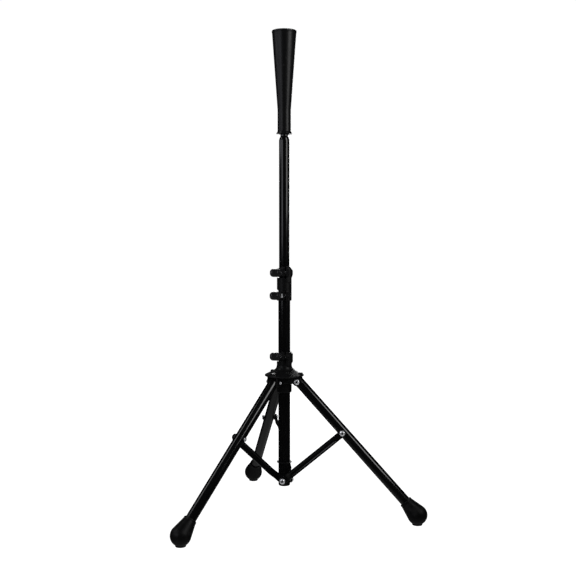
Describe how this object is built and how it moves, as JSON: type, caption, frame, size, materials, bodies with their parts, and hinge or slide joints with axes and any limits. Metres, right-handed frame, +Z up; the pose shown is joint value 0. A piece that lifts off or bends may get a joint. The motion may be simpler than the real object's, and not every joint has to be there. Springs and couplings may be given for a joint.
{
  "type": "batting tee",
  "caption": "Folding tripod batting tee: telescoping steel column with clamp collar, sliding leg hub, flat leg braces, rubber feet and a tapered hollow rubber cone for the ball.",
  "frame": {"origin": "on the ground, under the middle of the footprint box of the spread stand; the column's axis is 71.9 mm from it towards -X", "axes": "+Z up along the column; +X along the first leg, seen from above; the other two legs follow anticlockwise at equal angles"},
  "size_m": [0.4734, 0.54, 1.0345],
  "materials": {
    "black_paint": "gloss black powder coat on steel tube and strip",
    "black_plastic": "satin black moulded plastic",
    "knob_plastic": "semi-gloss black moulded plastic",
    "cone_rubber": "matte black moulded rubber",
    "foot_rubber": "satin black rubber",
    "nylon": "plain black nylon",
    "zinc": "bright zinc-plated steel",
    "black_zinc": "black zinc-plated steel"
  },
  "bodies": {
    "hub": {"tripod_hub": "black_plastic", "hub_clamp_nut": "black_zinc", "leg_pivot_bolt_a": "zinc", "leg_pivot_nut_a": "black_zinc", "leg_pivot_bolt_b": "zinc", "leg_pivot_nut_b": "black_zinc", "leg_pivot_bolt_c": "zinc", "leg_pivot_nut_c": "black_zinc"},
    "hub_knob": {"hub_clamp_knob": "knob_plastic", "hub_clamp_screw": "zinc"},
    "column": {"main_tube": "black_paint", "column_end_plug": "black_plastic", "stop_ring": "foot_rubber", "tube_collar": "black_plastic", "upper_collar_nut": "black_zinc", "lower_collar_nut": "black_zinc", "brace_lower_screw_a": "zinc", "brace_lower_screw_b": "zinc", "brace_lower_screw_c": "zinc"},
    "upper_knob": {"upper_collar_knob": "knob_plastic", "upper_collar_screw": "zinc"},
    "lower_knob": {"lower_collar_knob": "knob_plastic", "lower_collar_screw": "zinc"},
    "upper_section": {"upper_tube": "black_paint", "upper_tube_guide_plug": "nylon", "ball_cone": "cone_rubber"},
    "leg_a": {"leg_tube_a": "black_paint", "leg_end_plug_a": "nylon", "rubber_foot_a": "foot_rubber", "brace_spacer_a": "nylon", "brace_bolt_shank_a": "zinc", "brace_bolt_nut_a": "black_zinc"},
    "brace_a": {"brace_a": "black_paint", "brace_bolt_head_a": "zinc"},
    "leg_b": {"leg_tube_b": "black_paint", "leg_end_plug_b": "nylon", "rubber_foot_b": "foot_rubber", "brace_spacer_b": "nylon", "brace_bolt_shank_b": "zinc", "brace_bolt_nut_b": "black_zinc"},
    "brace_b": {"brace_b": "black_paint", "brace_bolt_head_b": "zinc"},
    "leg_c": {"leg_tube_c": "black_paint", "leg_end_plug_c": "nylon", "rubber_foot_c": "foot_rubber", "brace_spacer_c": "nylon", "brace_bolt_shank_c": "zinc", "brace_bolt_nut_c": "black_zinc"},
    "brace_c": {"brace_c": "black_paint", "brace_bolt_head_c": "zinc"}
  },
  "joints": [
    {"name": "column_slide", "type": "slide", "parent": "hub", "child": "column", "axis": [0, 0, -1], "range_m": [0, 0.09651]},
    {"name": "height_slide", "type": "slide", "parent": "column", "child": "upper_section", "axis": [0, 0, 1], "range_m": [-0.26, 0.06]},
    {"name": "hub_knob_turn", "type": "hinge", "parent": "hub", "child": "hub_knob", "pos_m": [-0.0668, -0.02191, 0.3476], "axis": [-0.974, -0.2267, 0], "range_deg": [0, 360]},
    {"name": "upper_knob_turn", "type": "hinge", "parent": "column", "child": "upper_knob", "pos_m": [-0.06623, -0.02177, 0.5256], "axis": [-0.9677, -0.2521, 0], "range_deg": [0, 360]},
    {"name": "lower_knob_turn", "type": "hinge", "parent": "column", "child": "lower_knob", "pos_m": [-0.0668, -0.02191, 0.477], "axis": [-0.974, -0.2267, 0], "range_deg": [0, 360]},
    {"name": "leg_a_fold", "type": "hinge", "parent": "hub", "child": "leg_a", "pos_m": [-0.0405, 0, 0.293], "axis": [0, 1, 0], "range_deg": [0, 43.33]},
    {"name": "brace_a_fold", "type": "hinge", "parent": "column", "child": "brace_a", "pos_m": [-0.0719, 0, 0.0766], "axis": [0, -1, 0], "range_deg": [0, 38.95]},
    {"name": "leg_b_fold", "type": "hinge", "parent": "hub", "child": "leg_b", "pos_m": [-0.0876, 0.02719, 0.293], "axis": [-0.866, -0.5, 0], "range_deg": [0, 43.33]},
    {"name": "brace_b_fold", "type": "hinge", "parent": "column", "child": "brace_b", "pos_m": [-0.0719, 0, 0.0766], "axis": [0.866, 0.5, 0], "range_deg": [0, 38.95]},
    {"name": "leg_c_fold", "type": "hinge", "parent": "hub", "child": "leg_c", "pos_m": [-0.0876, -0.02719, 0.293], "axis": [0.866, -0.5, 0], "range_deg": [0, 43.33]},
    {"name": "brace_c_fold", "type": "hinge", "parent": "column", "child": "brace_c", "pos_m": [-0.0719, 0, 0.0766], "axis": [-0.866, 0.5, 0], "range_deg": [0, 38.95]}
  ],
  "couplings": [
    {"joint": "leg_a_fold", "follows": "column_slide", "rad_per_m": 7.8338},
    {"joint": "brace_a_fold", "follows": "column_slide", "rad_per_m": 7.042},
    {"joint": "leg_b_fold", "follows": "column_slide", "rad_per_m": 7.8338},
    {"joint": "brace_b_fold", "follows": "column_slide", "rad_per_m": 7.042},
    {"joint": "leg_c_fold", "follows": "column_slide", "rad_per_m": 7.8338},
    {"joint": "brace_c_fold", "follows": "column_slide", "rad_per_m": 7.042}
  ]
}
